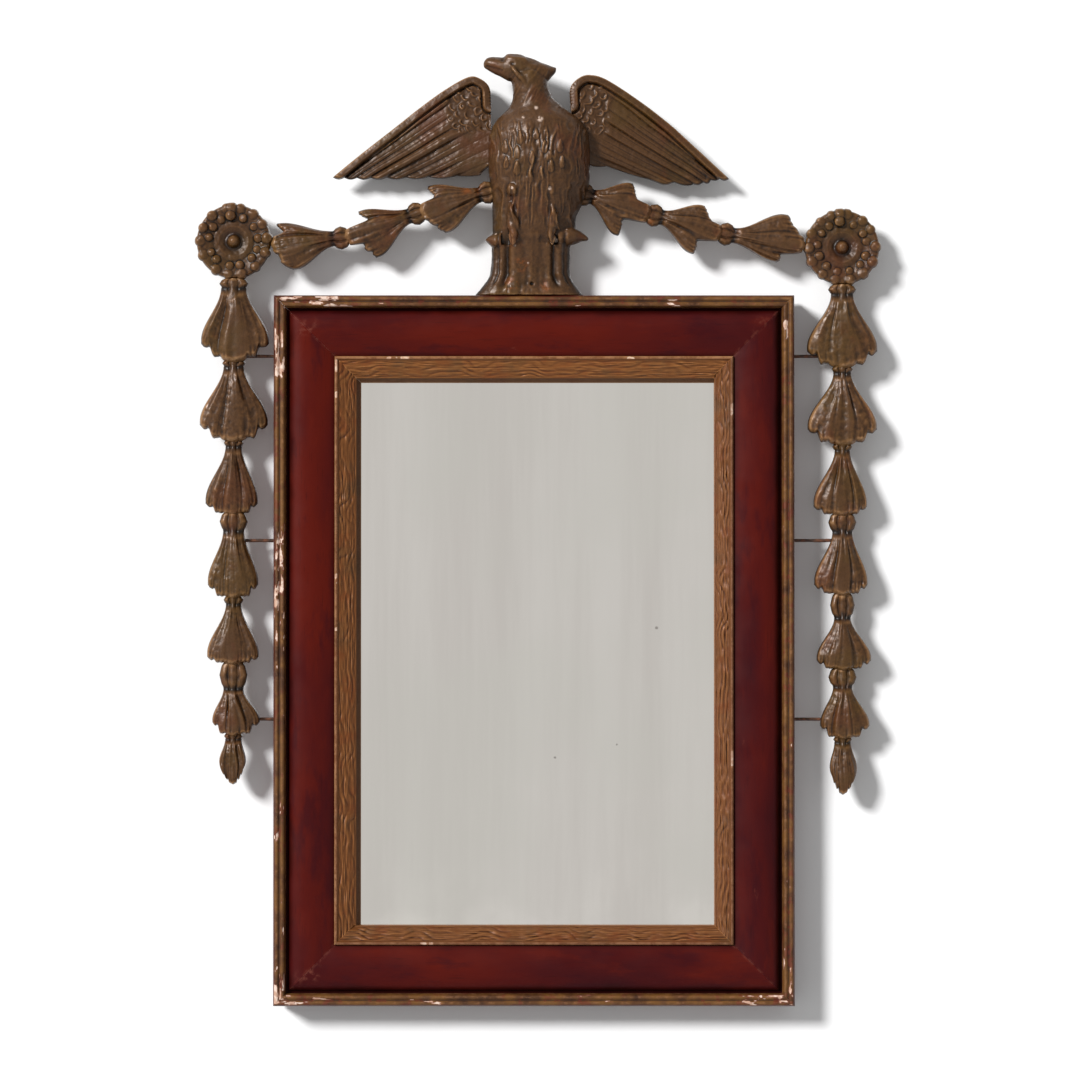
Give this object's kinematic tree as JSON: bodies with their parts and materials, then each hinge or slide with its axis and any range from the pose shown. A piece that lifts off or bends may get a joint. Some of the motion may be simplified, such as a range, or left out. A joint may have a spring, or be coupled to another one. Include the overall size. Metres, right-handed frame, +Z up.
{
  "type": "wall mirror",
  "caption": "Rectangular wall mirror in a red-stained moulded frame with gilt edges, a carved eagle crest and husk garlands on wire.",
  "frame": {"origin": "middle of the frame's back face, on the lower backboard, where the mirror lies against the wall", "axes": "+Z up, the mirror faces -Y, +X to the right as the viewer sees it"},
  "size_m": [0.5865, 0.0551, 0.8094],
  "materials": {
    "red_wood": "red-stained, polished",
    "worn_gilt": "aged bronze gilding over gesso",
    "slip_gilt": "rubbed gilding",
    "silvered_glass": "old silvering",
    "pine": "raw, aged",
    "iron": "dark wire",
    "brass": "dull"
  },
  "bodies": {
    "mirror": {"bottom_rail": "red_wood", "crest_batten": "pine", "crest_screw_lower": "iron", "crest_screw_upper": "iron", "drop_husk_left_1": "worn_gilt", "drop_husk_left_2": "worn_gilt", "drop_husk_left_3": "worn_gilt", "drop_husk_left_4": "worn_gilt", "drop_husk_left_5": "worn_gilt", "drop_husk_left_6": "worn_gilt", "drop_husk_left_7": "worn_gilt", "drop_husk_right_1": "worn_gilt", "drop_husk_right_2": "worn_gilt", "drop_husk_right_3": "worn_gilt", "drop_husk_right_4": "worn_gilt", "drop_husk_right_5": "worn_gilt", "drop_husk_right_6": "worn_gilt", "drop_husk_right_7": "worn_gilt", "drop_wire_left": "iron", "drop_wire_right": "iron", "eagle_body": "worn_gilt", "eagle_plinth": "worn_gilt", "eagle_wing_left": "worn_gilt", "eagle_wing_right": "worn_gilt", "hanger_plate_left": "brass", "hanger_plate_right": "brass", "hanger_screw_left": "iron", "hanger_screw_right": "iron", "inner_slip_bottom": "slip_gilt", "inner_slip_left": "slip_gilt", "inner_slip_right": "slip_gilt", "inner_slip_top": "slip_gilt", "left_stile": "red_wood", "lower_backboard": "pine", "mirror_glass": "silvered_glass", "outer_bead_bottom": "worn_gilt", "outer_bead_left": "worn_gilt", "outer_bead_right": "worn_gilt", "outer_bead_top": "worn_gilt", "right_stile": "red_wood", "rosette_left": "worn_gilt", "rosette_right": "worn_gilt", "stay_left_1": "iron", "stay_left_2": "iron", "stay_left_3": "iron", "stay_right_1": "iron", "stay_right_2": "iron", "stay_right_3": "iron", "swag_husk_left_1": "worn_gilt", "swag_husk_left_2": "worn_gilt", "swag_husk_left_3": "worn_gilt", "swag_husk_right_1": "worn_gilt", "swag_husk_right_2": "worn_gilt", "swag_husk_right_3": "worn_gilt", "swag_wire_left": "iron", "swag_wire_right": "iron", "top_rail": "red_wood", "upper_backboard": "pine"},
    "left_ring": {"hanger_ring_left": "brass"},
    "right_ring": {"hanger_ring_right": "brass"}
  },
  "joints": [
    {"name": "left_ring_swing", "type": "hinge", "parent": "mirror", "child": "left_ring", "pos_m": [-0.1865, 0.003, 0.15], "axis": [1, 0, 0], "range_deg": [0, 180]},
    {"name": "right_ring_swing", "type": "hinge", "parent": "mirror", "child": "right_ring", "pos_m": [0.1865, 0.003, 0.15], "axis": [1, 0, 0], "range_deg": [0, 180]}
  ]
}
